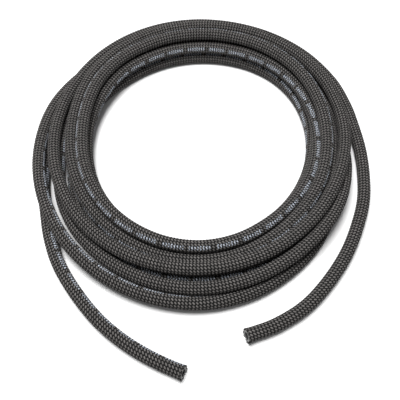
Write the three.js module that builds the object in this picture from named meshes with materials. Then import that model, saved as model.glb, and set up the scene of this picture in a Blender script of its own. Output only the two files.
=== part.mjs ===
// A loose coil of textile-braided rubber fuel hose, lying on its side with both cut ends free.
// Millimetres, +Z up.
import * as THREE from "three";

const HOSE_DIAMETER = 11;
const BORE_DIAMETER = 6;
const BRAID_THICKNESS = 0.65;
const CUT_CLEARANCE = 0.35; // between the rubber tube and the braid that grips it
const LAY_CLEARANCE = 0.5; // between one turn of the coil and the next

const HOSE_RADIUS = HOSE_DIAMETER / 2;
const BRAID_INNER_RADIUS = HOSE_RADIUS - BRAID_THICKNESS;
const RUBBER_RADIUS = BRAID_INNER_RADIUS - CUT_CLEARANCE;
const LAY_SPACING = HOSE_DIAMETER + LAY_CLEARANCE;
const SIDES = 10; // flats round every section

const STATIONS = 24; // points round one turn of the coil
const STATION_ANGLE = 360 / STATIONS;
const FIRST_ANGLE = 30; // where the right-hand tail joins the coil
const LAST_ANGLE = 2730; // where the left-hand tail leaves it, seven and a half turns later
const SETTLE_ROUNDS = 600;

// Centre line radius of the innermost hose on the floor, every 45 degrees round the coil.
const INNER_RADIUS = [100.7, 108.1, 103.1, 100.2, 100, 104.6, 104.2, 99.1];

// How the hose was laid: angle along the coil, then its place out from the innermost hose
// and up from the floor, both in hose spacings. The upper turns wind inwards, then the hose
// drops to the floor and winds outwards again beneath them.
const LAID = [
  [30, 3.45, 0],
  [45, 3.5, 0],
  [90, 3.5, 0],
  [135, 2.65, 0.9],
  [180, 2.4, 0.9],
  [225, 2.15, 0.85],
  [270, 2.1, 0.8],
  [315, 2.0, 0.9],
  [360, 2.3, 0.9],
  [405, 2.2, 0.9],
  [450, 2.45, 0.9],
  [495, 1.9, 0.9],
  [540, 1.05, 0.9],
  [585, 0.95, 0.6],
  [630, 1.35, 0],
  [675, 1.15, 0.3],
  [720, 0.8, 1.7],
  [765, 0.6, 1.7],
  [810, 0.85, 1.75],
  [855, 0.9, 1.5],
  [900, 0.1, 1],
  [945, 0.35, 0.95],
  [990, 0.75, 0.9],
  [1035, 0.5, 0.95],
  [1080, 0.2, 0.9],
  [1125, 0.1, 0.9],
  [1170, 0.15, 0.9],
  [1215, 0.6, 0.8],
  [1260, 0, 0],
  [1305, 0, 0],
  [1350, 0, 0],
  [1395, 0, 0],
  [1440, 0, 0],
  [1485, 0, 0],
  [1530, 0, 0],
  [1575, 0.15, 0],
  [1620, 1.05, 0],
  [1665, 1.6, 0],
  [1710, 2.75, 0],
  [1755, 2.1, 0.1],
  [1800, 1.1, 0.9],
  [1845, 1.0, 0.9],
  [1890, 1.1, 0.9],
  [1935, 1.4, 0.4],
  [1980, 2, 0],
  [2025, 2.85, 0],
  [2070, 3.4, 0.65],
  [2115, 3.2, 0.9],
  [2160, 1.95, 0],
  [2205, 2, 0],
  [2250, 2, 0],
  [2295, 2.8, 0],
  [2340, 3.3, 0.8],
  [2370, 3.8, 1],
  [2385, 3.95, 0.5],
  [2430, 4.4, 0],
  [2475, 3.4, 0],
  [2520, 1, 0],
  [2565, 1, 0],
  [2610, 1, 0],
  [2655, 1.8, 0],
  [2700, 2.95, 0],
  [2730, 3.95, 0],
];

// The two free tails on the floor, from the coil out to the cut end.
const RIGHT_TAIL = [
  [137, 43],
  [141.5, 17],
  [144, -10],
  [143, -37],
  [139, -62],
  [129, -89],
  [117, -112],
  [100, -135],
  [81, -154],
  [58, -168],
  [35, -176.5],
];
const LEFT_TAIL = [
  [-122, -99],
  [-112, -121],
  [-96, -144],
  [-77, -165],
  [-56, -181.5],
  [-34, -194],
  [-12, -203.5],
];

// Eases from a to b, level at both ends.
function ease(a, b, t) {
  return a + (b - a) * (0.5 - 0.5 * Math.cos(Math.PI * t));
}

function innerRadius(angle) {
  const turn = (((angle % 360) + 360) % 360) / 45;
  const i = Math.floor(turn);
  return ease(INNER_RADIUS[i], INNER_RADIUS[(i + 1) % 8], turn - i);
}

// The laid place at one angle along the coil: distance from the middle, and height.
function laidAt(angle) {
  let i = 0;
  while (LAID[i + 1][0] < angle) {
    i += 1;
  }
  const [from, out, up] = LAID[i];
  const [to, nextOut, nextUp] = LAID[i + 1];
  const t = (angle - from) / (to - from);
  return {
    angle,
    radius: innerRadius(angle) + ease(out, nextOut, t) * LAY_SPACING,
    height: HOSE_RADIUS + ease(up, nextUp, t) * LAY_SPACING,
  };
}

// Lets the turns come to rest: hoses that touch part, each runs smoothly, and all sink to the floor.
function settle(coil) {
  const laid = coil.map((p) => ({ ...p }));
  const last = coil.length - 1;
  for (let round = 0; round < SETTLE_ROUNDS; round += 1) {
    for (let i = 1; i < last; i += 1) {
      const p = coil[i];
      const middleRadius = (coil[i - 1].radius + coil[i + 1].radius) / 2;
      const middleHeight = (coil[i - 1].height + coil[i + 1].height) / 2;
      p.radius += 0.1 * (middleRadius - p.radius) + 0.05 * (laid[i].radius - p.radius);
      p.height += 0.2 * (middleHeight - p.height) - 0.03;
    }
    for (let push = 0; push < 4; push += 1) {
      part(coil);
      coil[0] = { ...laid[0] };
      coil[last] = { ...laid[last] };
    }
  }
  return coil;
}

// Moves apart every two turns that come too close at the same place round the coil.
function part(coil) {
  for (let i = 0; i < coil.length; i += 1) {
    for (let j = i + STATIONS; j < coil.length; j += STATIONS) {
      const across = coil[j].radius - coil[i].radius;
      const up = coil[j].height - coil[i].height;
      const apart = Math.max(Math.hypot(across, up), 0.001);
      const push = Math.max(LAY_SPACING - apart, 0) / 2;
      coil[i].radius -= (push * across) / apart;
      coil[i].height -= (push * up) / apart;
      coil[j].radius += (push * across) / apart;
      coil[j].height += (push * up) / apart;
    }
  }
  for (const p of coil) {
    p.height = Math.max(p.height, HOSE_RADIUS);
  }
}

// The whole centre line, from the right-hand cut end to the left-hand one.
function centreLine() {
  const coil = [];
  for (let angle = FIRST_ANGLE; angle <= LAST_ANGLE; angle += STATION_ANGLE) {
    coil.push(laidAt(angle));
  }
  const onCoil = settle(coil).map((p) => {
    const a = THREE.MathUtils.degToRad(p.angle);
    return new THREE.Vector3(p.radius * Math.cos(a), p.radius * Math.sin(a), p.height);
  });
  const onFloor = ([x, y]) => new THREE.Vector3(x, y, HOSE_RADIUS);
  return [...RIGHT_TAIL.map(onFloor).reverse(), ...onCoil, ...LEFT_TAIL.map(onFloor)];
}

// At each point of the line, two directions square to it that don't twist along it,
// and how far the mitre between its two straights stretches the section.
function framesAlong(line) {
  let side = new THREE.Vector3(0, 0, 1);
  return line.map((point, i) => {
    const before = line[Math.max(i, 1)].clone().sub(line[Math.max(i, 1) - 1]).normalize();
    const next = Math.min(i, line.length - 2);
    const after = line[next + 1].clone().sub(line[next]).normalize();
    const along = before.clone().add(after).normalize();
    side = side.clone().addScaledVector(along, -side.dot(along)).normalize();
    const across = along.clone().cross(side);
    const bend = after.clone().sub(before).normalize();
    const stretch = 1 / before.dot(along) - 1;
    return { point, side, across, bend, stretch };
  });
}

// One ring of a round section at a frame.
function ringAt(frame, radius) {
  return Array.from({ length: SIDES }, (_, k) => {
    const turn = (2 * Math.PI * k) / SIDES;
    const out = frame.side.clone().multiplyScalar(radius * Math.cos(turn));
    out.addScaledVector(frame.across, radius * Math.sin(turn));
    out.addScaledVector(frame.bend, out.dot(frame.bend) * frame.stretch);
    return out.add(frame.point);
  });
}

// A hollow round length along the frames, open at both ends.
function hollowLength(frames, outerRadius, innerRadius) {
  const corners = [];
  const faces = [];
  for (const frame of frames) {
    corners.push(...ringAt(frame, outerRadius), ...ringAt(frame, innerRadius));
  }
  const quad = (a, b, c, d) => faces.push(a, b, c, a, c, d);
  const perStep = 2 * SIDES;
  const last = (frames.length - 1) * perStep;
  for (let k = 0; k < SIDES; k += 1) {
    const n = (k + 1) % SIDES;
    for (let at = 0; at < last; at += perStep) {
      quad(at + k, at + n, at + perStep + n, at + perStep + k);
      const bore = at + SIDES;
      quad(bore + n, bore + k, bore + perStep + k, bore + perStep + n);
    }
    quad(n, k, SIDES + k, SIDES + n);
    quad(last + k, last + n, last + SIDES + n, last + SIDES + k);
  }
  const shape = new THREE.BufferGeometry();
  shape.setAttribute("position", new THREE.Float32BufferAttribute(corners.flatMap((c) => c.toArray()), 3));
  shape.setIndex(faces);
  shape.computeVertexNormals();
  return shape;
}

// The black nitrile rubber tube that carries the fuel.
function rubberTube(frames) {
  const rubber = new THREE.MeshStandardMaterial({ color: 0x3a3a3a, roughness: 0.8 });
  const mesh = new THREE.Mesh(hollowLength(frames, RUBBER_RADIUS, BORE_DIAMETER / 2), rubber);
  mesh.name = "rubber_tube";
  return mesh;
}

// The woven textile sleeve round it, one continuous braid from end to end.
function textileBraid(frames) {
  const yarn = new THREE.MeshStandardMaterial({ color: 0x5d5a57, roughness: 0.95 });
  const mesh = new THREE.Mesh(hollowLength(frames, HOSE_RADIUS, BRAID_INNER_RADIUS), yarn);
  mesh.name = "textile_braid";
  return mesh;
}

const frames = framesAlong(centreLine());
const hose = new THREE.Group();
hose.name = "fuel_hose";
hose.add(rubberTube(frames), textileBraid(frames));

// The frame's origin is on the floor, under the middle of the whole hose's box.
const box = new THREE.Box3().setFromObject(hose);
const middle = box.getCenter(new THREE.Vector3());
hose.position.set(-middle.x, -middle.y, -box.min.z);

export default hose;
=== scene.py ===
import math

import bpy
import numpy as np
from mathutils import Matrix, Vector


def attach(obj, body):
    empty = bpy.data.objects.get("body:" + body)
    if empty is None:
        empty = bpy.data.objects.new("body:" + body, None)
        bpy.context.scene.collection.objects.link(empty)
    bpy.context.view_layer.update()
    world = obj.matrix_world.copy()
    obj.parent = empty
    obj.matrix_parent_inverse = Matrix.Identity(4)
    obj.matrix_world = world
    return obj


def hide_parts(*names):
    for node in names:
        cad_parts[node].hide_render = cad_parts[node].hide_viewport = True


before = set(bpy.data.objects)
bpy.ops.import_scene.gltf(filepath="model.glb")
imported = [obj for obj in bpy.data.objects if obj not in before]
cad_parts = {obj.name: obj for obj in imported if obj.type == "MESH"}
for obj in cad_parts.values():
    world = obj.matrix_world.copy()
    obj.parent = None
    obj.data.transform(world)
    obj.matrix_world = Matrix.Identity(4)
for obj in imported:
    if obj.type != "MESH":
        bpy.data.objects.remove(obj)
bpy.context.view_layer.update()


# The camera
# It looks down steeply at the coil from the side of its two cut ends, as one would at a hose
# laid on a table.
lens = bpy.data.cameras.new("camera")
lens.sensor_width = 36
lens.lens = 48.87
camera = bpy.data.objects.new("camera", lens)
camera.location = (-0.0017, -0.2544, 0.4111)
sight = Vector((-0.0017, -0.02655, 0)) - camera.location
camera.rotation_euler = sight.to_track_quat("-Z", "Y").to_euler()
bpy.context.scene.collection.objects.link(camera)
bpy.context.scene.camera = camera


# The rubber tube
# The hose's wall and bore: one length of extruded black nitrile rubber, cut with a knife at
# both ends, wound loosely by hand into seven turns and a half. Its route is settled first.
hose_radius = 0.0055
bore_radius = 0.003
tube_radius = 0.0047
lay_spacing = 0.0115

# Centre line radius of the innermost hose on the floor, every 45 degrees round the coil.
inner_radius = [0.1007, 0.1081, 0.1031, 0.1002, 0.1, 0.1046, 0.1042, 0.0991]

# How it was laid: angle along the coil, then its place out from the innermost hose and up
# from the floor, both in hose spacings.
laid = [
    (30, 3.45, 0),
    (45, 3.5, 0),
    (90, 3.5, 0),
    (135, 2.65, 0.9),
    (180, 2.4, 0.9),
    (225, 2.15, 0.85),
    (270, 2.1, 0.8),
    (315, 2.0, 0.9),
    (360, 2.3, 0.9),
    (405, 2.2, 0.9),
    (450, 2.45, 0.9),
    (495, 1.9, 0.9),
    (540, 1.05, 0.9),
    (585, 0.95, 0.6),
    (630, 1.35, 0),
    (675, 1.15, 0.3),
    (720, 0.8, 1.7),
    (765, 0.6, 1.7),
    (810, 0.85, 1.75),
    (855, 0.9, 1.5),
    (900, 0.1, 1),
    (945, 0.35, 0.95),
    (990, 0.75, 0.9),
    (1035, 0.5, 0.95),
    (1080, 0.2, 0.9),
    (1125, 0.1, 0.9),
    (1170, 0.15, 0.9),
    (1215, 0.6, 0.8),
    (1260, 0, 0),
    (1530, 0, 0),
    (1575, 0.15, 0),
    (1620, 1.05, 0),
    (1665, 1.6, 0),
    (1710, 2.75, 0),
    (1755, 2.1, 0.1),
    (1800, 1.1, 0.9),
    (1845, 1.0, 0.9),
    (1890, 1.1, 0.9),
    (1935, 1.4, 0.4),
    (1980, 2, 0),
    (2025, 2.85, 0),
    (2070, 3.4, 0.65),
    (2115, 3.2, 0.9),
    (2160, 1.95, 0),
    (2205, 2, 0),
    (2250, 2, 0),
    (2295, 2.8, 0),
    (2340, 3.3, 0.8),
    (2370, 3.8, 1),
    (2385, 3.95, 0.5),
    (2430, 4.4, 0),
    (2475, 3.4, 0),
    (2520, 1, 0),
    (2610, 1, 0),
    (2655, 1.8, 0),
    (2700, 2.95, 0),
    (2730, 3.95, 0),
]

# The two free tails on the floor, from the coil out to the cut end.
right_tail = [
    (0.137, 0.043),
    (0.1415, 0.017),
    (0.144, -0.01),
    (0.143, -0.037),
    (0.139, -0.062),
    (0.129, -0.089),
    (0.117, -0.112),
    (0.1, -0.135),
    (0.081, -0.154),
    (0.058, -0.168),
    (0.035, -0.1765),
]
left_tail = [
    (-0.122, -0.099),
    (-0.112, -0.121),
    (-0.096, -0.144),
    (-0.077, -0.165),
    (-0.056, -0.1815),
    (-0.034, -0.194),
    (-0.012, -0.2035),
]
coil_middle = np.array([-0.001696, 0.030324, 0.0])

# The coil is settled at stations round it. In each round a station moves by these shares
# towards its neighbours and back to where it was laid, and sinks a little.
stations_a_turn = 24
settle_rounds = 600
parting_rounds = 4
even_out = 0.1
even_up = 0.2
stay_out = 0.05
sink = 0.00003


def eased(a, b, t):
    return a + (b - a) * (0.5 - 0.5 * math.cos(math.pi * t))


def laid_place(angle):
    """Distance from the coil's middle, and height, of one point as the hose was laid."""
    turn = (angle % 360) / 45
    i = int(turn)
    inner = eased(inner_radius[i], inner_radius[(i + 1) % 8], turn - i)
    k = 0
    while laid[k + 1][0] < angle:
        k += 1
    start, out, up = laid[k]
    end, next_out, next_up = laid[k + 1]
    t = (angle - start) / (end - start)
    return [
        inner + eased(out, next_out, t) * lay_spacing,
        hose_radius + eased(up, next_up, t) * lay_spacing,
    ]


def part_turns(coil):
    """Moves apart every two turns that come too close at the same place round the coil."""
    for i in range(len(coil)):
        a = coil[i]
        for j in range(i + stations_a_turn, len(coil), stations_a_turn):
            b = coil[j]
            across = b[0] - a[0]
            up = b[1] - a[1]
            apart = max(math.hypot(across, up), 1e-6)
            if apart < lay_spacing:
                push = (lay_spacing - apart) / 2 / apart
                a[0] -= push * across
                a[1] -= push * up
                b[0] += push * across
                b[1] += push * up
    for point in coil:
        point[1] = max(point[1], hose_radius)


def settled(angles):
    """The turns come to rest: touching hoses part, each runs smoothly, all sink to the floor."""
    start = [laid_place(a) for a in angles]
    coil = [list(p) for p in start]
    for _ in range(settle_rounds):
        for i in range(1, len(coil) - 1):
            p, before, after = coil[i], coil[i - 1], coil[i + 1]
            middle_out = (before[0] + after[0]) / 2
            middle_up = (before[1] + after[1]) / 2
            p[0] += even_out * (middle_out - p[0]) + stay_out * (start[i][0] - p[0])
            p[1] += even_up * (middle_up - p[1]) - sink
        for _ in range(parting_rounds):
            part_turns(coil)
            coil[0] = list(start[0])
            coil[-1] = list(start[-1])
    return coil


angles = list(range(laid[0][0], laid[-1][0] + 1, 360 // stations_a_turn))
route = [(x, y, hose_radius) for x, y in reversed(right_tail)]
for angle, (out, up) in zip(angles, settled(angles)):
    a = math.radians(angle)
    route.append((out * math.cos(a), out * math.sin(a), up))
route += [(x, y, hose_radius) for x, y in left_tail]
route = np.array(route) + coil_middle

# A smooth curve through the route's points, stepped evenly: one step for each crossing of
# the braid's yarns.
steps = 4546
samples = 60  # points of the curve between two points of the route
p1, p2 = route[:-1], route[1:]
p0 = np.vstack([2 * route[0] - route[1], route[:-2]])
p3 = np.vstack([route[2:], 2 * route[-1] - route[-2]])
t = np.linspace(0, 1, samples, endpoint=False)[:, None, None]
curve = 0.5 * (
    2 * p1
    + (p2 - p0) * t
    + (2 * p0 - 5 * p1 + 4 * p2 - p3) * t**2
    + (3 * p1 - p0 - 3 * p2 + p3) * t**3
)
curve = np.vstack([curve.transpose(1, 0, 2).reshape(-1, 3), route[-1:]])
run = np.concatenate([[0], np.cumsum(np.linalg.norm(np.diff(curve, axis=0), axis=1))])
hose_length = float(run[-1])
distance = np.linspace(0, hose_length, steps + 1)
line = np.stack([np.interp(distance, run, curve[:, k]) for k in range(3)], axis=1)
line[:, 2] = np.maximum(line[:, 2], hose_radius)
along = np.gradient(line, axis=0)
along /= np.linalg.norm(along, axis=1)[:, None]
upward = np.array([0, 0, 1.0]) - along * along[:, 2:]
upward /= np.linalg.norm(upward, axis=1)[:, None]
outward = np.cross(along, upward)

# The knife leaned back a little at both ends, so the upper side of each cut end is shorter.
cut_lean = math.tan(math.radians(9))
lean_back = np.zeros(steps + 1)
lean_back[0], lean_back[-1] = cut_lean, -cut_lean


def mesh_piece(name, points, faces, materials):
    """A shown mesh that rides on the hose's one body."""
    mesh = bpy.data.meshes.new(name)
    mesh.from_pydata(points.tolist(), [], faces)
    for material in materials:
        mesh.materials.append(material)
    mesh.shade_smooth()
    piece = bpy.data.objects.new(name, mesh)
    bpy.context.scene.collection.objects.link(piece)
    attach(piece, "root")
    return piece


def nodes_of(material):
    """The material's node tree, and short ways to add a node and to join two sockets."""
    material.use_nodes = True
    tree = material.node_tree

    def add(kind, **values):
        node = tree.nodes.new(kind)
        for key, value in values.items():
            setattr(node, key, value)
        return node

    return tree.nodes["Principled BSDF"], add, tree.links.new


def rubber_material(name, dark, light, bump):
    """Matt nitrile rubber, mottled with the dust that clings to it."""
    material = bpy.data.materials.new(name)
    skin, add, join = nodes_of(material)
    place = add("ShaderNodeTexCoord")
    dust = add("ShaderNodeTexNoise")
    dust.inputs["Scale"].default_value = 900
    dust.inputs["Detail"].default_value = 5
    join(place.outputs["Object"], dust.inputs["Vector"])
    tone = add("ShaderNodeValToRGB")
    tone.color_ramp.elements[0].position = 0.35
    tone.color_ramp.elements[0].color = (*dark, 1)
    tone.color_ramp.elements[1].position = 0.7
    tone.color_ramp.elements[1].color = (*light, 1)
    join(dust.outputs["Fac"], tone.inputs["Fac"])
    join(tone.outputs["Color"], skin.inputs["Base Color"])
    dent = add("ShaderNodeBump")
    dent.inputs["Strength"].default_value = bump
    dent.inputs["Distance"].default_value = 0.00015
    join(dust.outputs["Fac"], dent.inputs["Height"])
    join(dent.outputs["Normal"], skin.inputs["Normal"])
    skin.inputs["Roughness"].default_value = 0.75
    skin.inputs["Specular IOR Level"].default_value = 0.35
    return material


rubber = rubber_material("nitrile_rubber", (0.012, 0.012, 0.013), (0.03, 0.03, 0.031), 0.3)
cut_rubber = rubber_material("cut_rubber", (0.11, 0.11, 0.11), (0.3, 0.3, 0.29), 0.6)

# One ring of the wall every six steps, and closer at the cut ends.
ring_at = np.unique(np.concatenate([[0, 1], np.arange(3, steps - 2, 6), [steps - 1, steps]]))
sides = 16
around = 2 * np.pi * np.arange(sides) / sides
spoke = (
    upward[ring_at, None] * np.cos(around)[:, None]
    + outward[ring_at, None] * np.sin(around)[:, None]
)
tube_rings = []
for radius in (tube_radius, bore_radius):
    cut_back = lean_back[ring_at, None] * radius * np.cos(around)
    ring = line[ring_at, None] + radius * spoke
    tube_rings.append(ring + along[ring_at, None] * cut_back[:, :, None])
tube_points = np.stack(tube_rings, axis=1).reshape(-1, 3)
tube_faces = []
last_ring = len(ring_at) - 1
for k in range(sides):
    n = (k + 1) % sides
    for ring in range(last_ring):
        a, b = ring * 2 * sides, (ring + 1) * 2 * sides
        tube_faces.append((a + k, b + k, b + n, a + n))
        tube_faces.append((a + sides + n, b + sides + n, b + sides + k, a + sides + k))
    e = last_ring * 2 * sides
    tube_faces.append((k, n, sides + n, sides + k))
    tube_faces.append((e + n, e + k, e + sides + k, e + sides + n))
rubber_wall = mesh_piece("rubber_wall", tube_points, tube_faces, [rubber, cut_rubber])
for face in rubber_wall.data.polygons:
    ends = {v // (2 * sides) for v in face.vertices}
    if len(ends) == 1:
        face.material_index = 1
        face.use_smooth = False
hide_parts("rubber_tube")


# The textile braid
# A sleeve of 24 yarns, twelve running each way round, each passing over one and under the
# next, braided tightly on to the rubber tube and cut off with it.
yarns_each_way = 12
pale_half_width = 0.00097
dark_half_width = 0.00072
yarn_crown = 0.00028
yarn_lift = 0.0002
yarn_middle = hose_radius - yarn_lift
# Painted shade: where a yarn dives under the crossing yarn, the middle of its top is painted this
# lit, against 1 where it passes over.
dived_crown_shading = 0.35

# The sleeve opens by the flare at a cut end, and less and less over its reach from there.
flare = 0.0005
flare_reach = 0.003

# The yarns' texture is measured in millimetres, across and along each yarn.
strand_half_width = 0.92
strand_step = 1.94
strand_apart = 5

# The printed line is plain upright ticks in groups. Its height is in sines of the angle round
# the hose, and the edge of each mark fades between its two limits.
print_height = (0.33, 0.28)
tick_spacing = 0.0022
tick_edge = (0.00045, 0.00065)
group_spacing = 0.021
group_edge = (0.0018, 0.0024)
ink_wear = (0.4, 0.55)
ink_colour = (0.5, 0.55, 0.63)

# Where the printed line lies round the hose: metres from the right-hand cut end, then degrees
# from straight up towards the outside of the coil.
print_place = [
    (0.0, 170),
    (0.9, 170),
    (1.45, 120),
    (1.66, 40),
    (1.71, 55),
    (1.8, 75),
    (1.84, 60),
    (1.95, 48),
    (2.06, 52),
    (2.14, 60),
    (2.2, 60),
    (2.32, 38),
    (2.42, 40),
    (2.5, 8),
    (2.54, -30),
    (2.6, -75),
    (2.7, -58),
    (2.85, -120),
    (3.1, -120),
    (3.25, -10),
    (3.36, 0),
    (3.42, -20),
    (3.5, 40),
    (3.58, 90),
    (3.63, 46),
    (3.68, 10),
    (3.72, 20),
    (3.76, 90),
    (3.95, 150),
    (4.15, 0),
    (4.25, -45),
    (4.35, -90),
    (4.6, -150),
    (4.95, -120),
    (5.11, -80),
    (5.18, -48),
    (5.25, -42),
    (5.3, -55),
    (5.4, -150),
    (5.8, -150),
    (5.98, -30),
    (6.03, -34),
    (6.06, -50),
    (6.1, -58),
    (6.19, -62),
]
print_turn = np.radians(np.interp(distance, *zip(*print_place)))
smooth_steps = 30  # on either side of each step
smoothing = np.full(2 * smooth_steps + 1, 1 / (2 * smooth_steps + 1))
print_turn = np.pad(print_turn, smooth_steps, mode="edge")
print_turn = np.convolve(print_turn, smoothing, mode="valid")

step_length = hose_length / steps
step_round = math.pi * yarn_middle / yarns_each_way
yarn_step = math.hypot(step_length, step_round)
lean_along = step_length / yarn_step
lean_round = step_round / yarn_step
from_end = np.minimum(distance, hose_length - distance)
opened = flare * np.exp(-from_end / flare_reach)


def ramp_between(add, limits):
    """A node that rises from 0 at the first limit to 1 at the second."""
    rise = add("ShaderNodeMapRange")
    rise.inputs["From Min"].default_value, rise.inputs["From Max"].default_value = limits
    return rise


def yarn_material(name, dark, light, dived_shade):
    """Spun textile yarn: fine filaments along it, and the worn print on it. Its colour is
    darkened as painted shade towards the yarn's edges and where it dives, down to the given
    share."""
    material = bpy.data.materials.new(name)
    skin, add, join = nodes_of(material)
    strand = add("ShaderNodeUVMap", uv_map="strand")
    stretch = add("ShaderNodeMapping")
    stretch.inputs["Scale"].default_value = (14, 0.9, 1)
    join(strand.outputs["UV"], stretch.inputs["Vector"])
    filament = add("ShaderNodeTexNoise")
    filament.inputs["Scale"].default_value = 1
    filament.inputs["Detail"].default_value = 3
    join(stretch.outputs["Vector"], filament.inputs["Vector"])
    blotch = add("ShaderNodeTexNoise")
    blotch.inputs["Scale"].default_value = 0.35
    blotch.inputs["Detail"].default_value = 2
    join(strand.outputs["UV"], blotch.inputs["Vector"])
    both = add("ShaderNodeMath", operation="ADD")
    join(filament.outputs["Fac"], both.inputs[0])
    join(blotch.outputs["Fac"], both.inputs[1])
    tone = add("ShaderNodeValToRGB")
    tone.color_ramp.elements[0].position = 0.38
    tone.color_ramp.elements[0].color = (*dark, 1)
    tone.color_ramp.elements[1].position = 0.62
    tone.color_ramp.elements[1].color = (*light, 1)
    half = add("ShaderNodeMath", operation="MULTIPLY")
    half.inputs[1].default_value = 0.5
    join(both.outputs["Value"], half.inputs[0])
    join(half.outputs["Value"], tone.inputs["Fac"])

    # Painted shade: the yarn's colour is darkened towards its edges and, less, where it dives
    # under the crossing yarn.
    crown_shading = add("ShaderNodeAttribute", attribute_name="crown_shading")
    groove_shade = ramp_between(add, (0.05, 0.55))
    groove_shade.inputs["To Min"].default_value = dived_shade
    join(crown_shading.outputs["Fac"], groove_shade.inputs["Value"])
    shaded = add("ShaderNodeMix", data_type="RGBA", blend_type="MULTIPLY")
    shaded.inputs["Factor"].default_value = 1
    join(tone.outputs["Color"], shaded.inputs["A"])
    join(groove_shade.outputs["Result"], shaded.inputs["B"])

    # The print lies on the tops of the yarns that it crosses, and is darkened with their painted
    # shade.
    mark = add("ShaderNodeAttribute", attribute_name="print")
    split = add("ShaderNodeSeparateXYZ")
    join(mark.outputs["Vector"], split.inputs["Vector"])
    side = add("ShaderNodeMath", operation="ABSOLUTE")
    join(split.outputs["X"], side.inputs[0])
    narrow = ramp_between(add, print_height)
    join(side.outputs["Value"], narrow.inputs["Value"])
    facing = add("ShaderNodeMath", operation="GREATER_THAN")
    facing.inputs[1].default_value = 0
    join(split.outputs["Y"], facing.inputs[0])
    tick = add("ShaderNodeMath", operation="PINGPONG")
    tick.inputs[1].default_value = tick_spacing / 2
    join(split.outputs["Z"], tick.inputs[0])
    inked = ramp_between(add, tick_edge)
    join(tick.outputs["Value"], inked.inputs["Value"])
    group = add("ShaderNodeMath", operation="PINGPONG")
    group.inputs[1].default_value = group_spacing / 2
    join(split.outputs["Z"], group.inputs[0])
    grouped = ramp_between(add, group_edge)
    join(group.outputs["Value"], grouped.inputs["Value"])
    worn = ramp_between(add, ink_wear)
    join(filament.outputs["Fac"], worn.inputs["Value"])
    ink = narrow.outputs["Result"]
    limits = (
        facing.outputs["Value"],
        inked.outputs["Result"],
        grouped.outputs["Result"],
        worn.outputs["Result"],
        groove_shade.outputs["Result"],
    )
    for limit in limits:
        times = add("ShaderNodeMath", operation="MULTIPLY")
        join(ink, times.inputs[0])
        join(limit, times.inputs[1])
        ink = times.outputs["Value"]
    printed = add("ShaderNodeMix", data_type="RGBA")
    printed.inputs["B"].default_value = (*ink_colour, 1)
    join(ink, printed.inputs["Factor"])
    join(shaded.outputs["Result"], printed.inputs["A"])
    join(printed.outputs["Result"], skin.inputs["Base Color"])

    dent = add("ShaderNodeBump")
    dent.inputs["Strength"].default_value = 0.6
    dent.inputs["Distance"].default_value = 0.00012
    join(filament.outputs["Fac"], dent.inputs["Height"])
    join(dent.outputs["Normal"], skin.inputs["Normal"])
    skin.inputs["Roughness"].default_value = 0.85
    skin.inputs["Specular IOR Level"].default_value = 0.06
    skin.inputs["Sheen Weight"].default_value = 0.03
    skin.inputs["Sheen Roughness"].default_value = 0.5
    return material


def yarns(name, way, numbers, half_width, material):
    """Some of the yarns that run one way round, each closed, with a crowned top."""
    step = np.arange(steps + 1)
    over = np.where(step % 2 == 0, way, -way)
    points, strand, marks, crown_shading_values = [], [], [], []
    for number in numbers:
        turn = print_turn + np.pi * (2 * number + way * step) / yarns_each_way
        for c in (-1, 0, 1):
            radius = yarn_middle + yarn_lift * over + opened - yarn_crown * abs(c)
            at = turn + c * half_width * lean_along / radius
            spoke = upward * np.cos(at)[:, None] + outward * np.sin(at)[:, None]
            back = -way * c * half_width * lean_round
            cut_back = lean_back * radius * np.cos(at)
            points.append(line + along * (back + cut_back)[:, None] + spoke * radius[:, None])
            across_yarn = np.full(steps + 1, c * strand_half_width + strand_apart * number)
            strand.append(np.stack([across_yarn, step * strand_step], axis=1))
            # Painted shade: 1 on the top middle of a yarn passing over, less where it dives, 0 at
            # its edges; the material darkens the yarn's colour by it.
            crown_shading_values.append((1 - abs(c)) * (dived_crown_shading + (1 - dived_crown_shading) * (over > 0)))
            own = at - print_turn
            marks.append(np.stack([np.sin(own), np.cos(own), distance + back], axis=1))
    count = len(numbers)
    points = np.array(points).reshape(count, 3, steps + 1, 3).transpose(0, 2, 1, 3).reshape(-1, 3)
    strand = np.array(strand).reshape(count, 3, steps + 1, 2).transpose(0, 2, 1, 3).reshape(-1, 2)
    marks = np.array(marks).reshape(count, 3, steps + 1, 3).transpose(0, 2, 1, 3).reshape(-1, 3)
    crown_shading_values = np.array(crown_shading_values).reshape(count, 3, steps + 1).transpose(0, 2, 1).ravel()
    first = 3 * (np.arange(count)[:, None] * (steps + 1) + np.arange(steps)[None]).reshape(-1)
    faces = []
    for a, b in ((0, 1), (1, 2), (2, 0)):
        faces.append(np.stack([first + a, first + b, first + 3 + b, first + 3 + a], axis=1))
    faces = np.concatenate(faces).tolist()
    for i in range(count):
        start = 3 * i * (steps + 1)
        end = start + 3 * steps
        faces.append([start + 2, start + 1, start])
        faces.append([end, end + 1, end + 2])
    piece = mesh_piece(name, points, faces, [material])
    corner = np.empty(len(piece.data.loops), dtype=np.int32)
    piece.data.loops.foreach_get("vertex_index", corner)
    layer = piece.data.uv_layers.new(name="strand")
    layer.uv.foreach_set("vector", strand[corner].ravel())
    marked = piece.data.attributes.new("print", "FLOAT_VECTOR", "POINT")
    marked.data.foreach_set("vector", marks.ravel())
    crown_shading_layer = piece.data.attributes.new("crown_shading", "FLOAT", "POINT")
    crown_shading_layer.data.foreach_set("value", crown_shading_values)
    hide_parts("textile_braid")
    return piece


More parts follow.
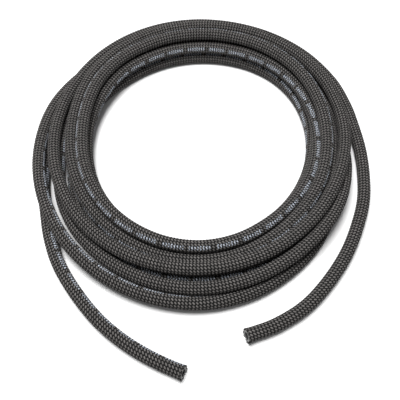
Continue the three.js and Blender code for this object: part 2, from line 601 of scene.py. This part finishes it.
# The last number is the share of colour kept as painted shade at each yarn's edges and dives.
pale_yarn = yarn_material("pale_yarn", (0.06, 0.057, 0.055), (0.14, 0.132, 0.127), 0.12)
dark_yarn = yarn_material("dark_yarn", (0.004, 0.004, 0.004), (0.014, 0.0135, 0.0135), 0.3)
braid = [
    yarns("right_hand_yarns_a", 1, range(0, 6), pale_half_width, pale_yarn),
    yarns("right_hand_yarns_b", 1, range(6, 12), pale_half_width, pale_yarn),
    yarns("left_hand_yarns_a", -1, range(0, 6), dark_half_width, dark_yarn),
    yarns("left_hand_yarns_b", -1, range(6, 12), dark_half_width, dark_yarn),
]


# The frayed ends
# Where the knife cut the sleeve, each yarn's filaments spring apart into a short dark fringe
# round the end of the rubber.
black_fibre = bpy.data.materials.new("black_fibre")
fibre_skin, add, join = nodes_of(black_fibre)
grain = add("ShaderNodeTexNoise")
grain.inputs["Scale"].default_value = 2500
fibre_tone = add("ShaderNodeValToRGB")
fibre_tone.color_ramp.elements[0].color = (0.01, 0.01, 0.01, 1)
fibre_tone.color_ramp.elements[1].color = (0.05, 0.048, 0.046, 1)
join(grain.outputs["Fac"], fibre_tone.inputs["Fac"])
join(fibre_tone.outputs["Color"], fibre_skin.inputs["Base Color"])
fibre_skin.inputs["Roughness"].default_value = 0.9

fibres_a_yarn = 8
fibre_foot = 0.0008
fibre_radius = 0.00007
fibre_bends = 4
fibre_corners = (0, 2.094, 4.189)
chance = np.random.default_rng(11)


def frayed_end(name, station, outwards):
    """The fringe at one cut end; outwards is 1 at the far end of the hose and -1 at its start."""
    points, faces = [], []
    for yarn in range(2 * yarns_each_way):
        for _ in range(fibres_a_yarn):
            at = np.pi * (yarn + chance.uniform(-0.5, 0.5)) / yarns_each_way
            spoke = upward[station] * np.cos(at) + outward[station] * np.sin(at)
            around_hose = outward[station] * np.cos(at) - upward[station] * np.sin(at)
            cut_back = lean_back[station] * hose_radius * np.cos(at)
            foot = line[station] + along[station] * (cut_back - outwards * fibre_foot)
            foot = foot + spoke * (hose_radius + flare - chance.uniform(0.0001, 0.0007))
            reach = chance.uniform(0.0007, 0.0012)
            lean = chance.uniform(-0.5, 0.5)
            spring = chance.uniform(0.0, 0.35)
            rings = []
            for k in range(fibre_bends + 1):
                t = k / fibre_bends
                centre = foot + along[station] * outwards * reach * t
                centre = centre + around_hose * lean * reach * t
                centre = centre + spoke * spring * reach * t * t
                size = fibre_radius * (1 - 0.75 * t)
                ring = [
                    centre + size * (spoke * math.cos(w) + around_hose * math.sin(w))
                    for w in fibre_corners
                ]
                rings.extend(ring)
            base = len(points)
            points.extend(rings)
            for k in range(fibre_bends):
                for s in range(3):
                    a, b = base + 3 * k + s, base + 3 * k + (s + 1) % 3
                    quad = (a, b, b + 3, a + 3)
                    faces.append(quad if outwards > 0 else quad[::-1])
            tip = base + 3 * fibre_bends
            caps = ((base + 2, base + 1, base), (tip, tip + 1, tip + 2))
            faces.extend(cap if outwards > 0 else cap[::-1] for cap in caps)
    points = np.array(points)
    points[:, 2] = np.maximum(points[:, 2], 0)
    piece = mesh_piece(name, points, faces, [black_fibre])
    return piece


fringes = [frayed_end("right_end_fringe", 0, -1), frayed_end("left_end_fringe", steps, 1)]


# The floor
# A plain pale table top that the coil rests on, lit until it is white.
white = bpy.data.materials.new("white_floor")
white_skin = nodes_of(white)[0]
white_skin.inputs["Base Color"].default_value = (0.68, 0.68, 0.68, 1)
white_skin.inputs["Roughness"].default_value = 1
white_skin.inputs["Specular IOR Level"].default_value = 0
plane = bpy.data.meshes.new("floor")
plane.from_pydata([(-3, -3, 0), (3, -3, 0), (3, 3, 0), (-3, 3, 0)], [], [(0, 1, 2, 3)])
plane.materials.append(white)
floor = bpy.data.objects.new("floor", plane)
bpy.context.scene.collection.objects.link(floor)


# The light
# One large soft lamp overhead and a bright white room all round.
def soft_lamp(name, place, aim, width, watts):
    lamp = bpy.data.lights.new(name, "AREA")
    lamp.shape = "DISK"
    lamp.size = width
    lamp.energy = watts
    lit = bpy.data.objects.new(name, lamp)
    lit.location = place
    lit.rotation_euler = (Vector(aim) - Vector(place)).to_track_quat("-Z", "Y").to_euler()
    bpy.context.scene.collection.objects.link(lit)


soft_lamp("overhead_lamp", (-0.2, 0.15, 1.4), (0, 0, 0), 0.8, 42)
room = bpy.data.worlds.new("white_room")
room.use_nodes = True
room.node_tree.nodes["Background"].inputs["Color"].default_value = (1, 1, 1, 1)
room.node_tree.nodes["Background"].inputs["Strength"].default_value = 0.3
bpy.context.scene.world = room
bpy.context.scene.view_settings.view_transform = "Standard"
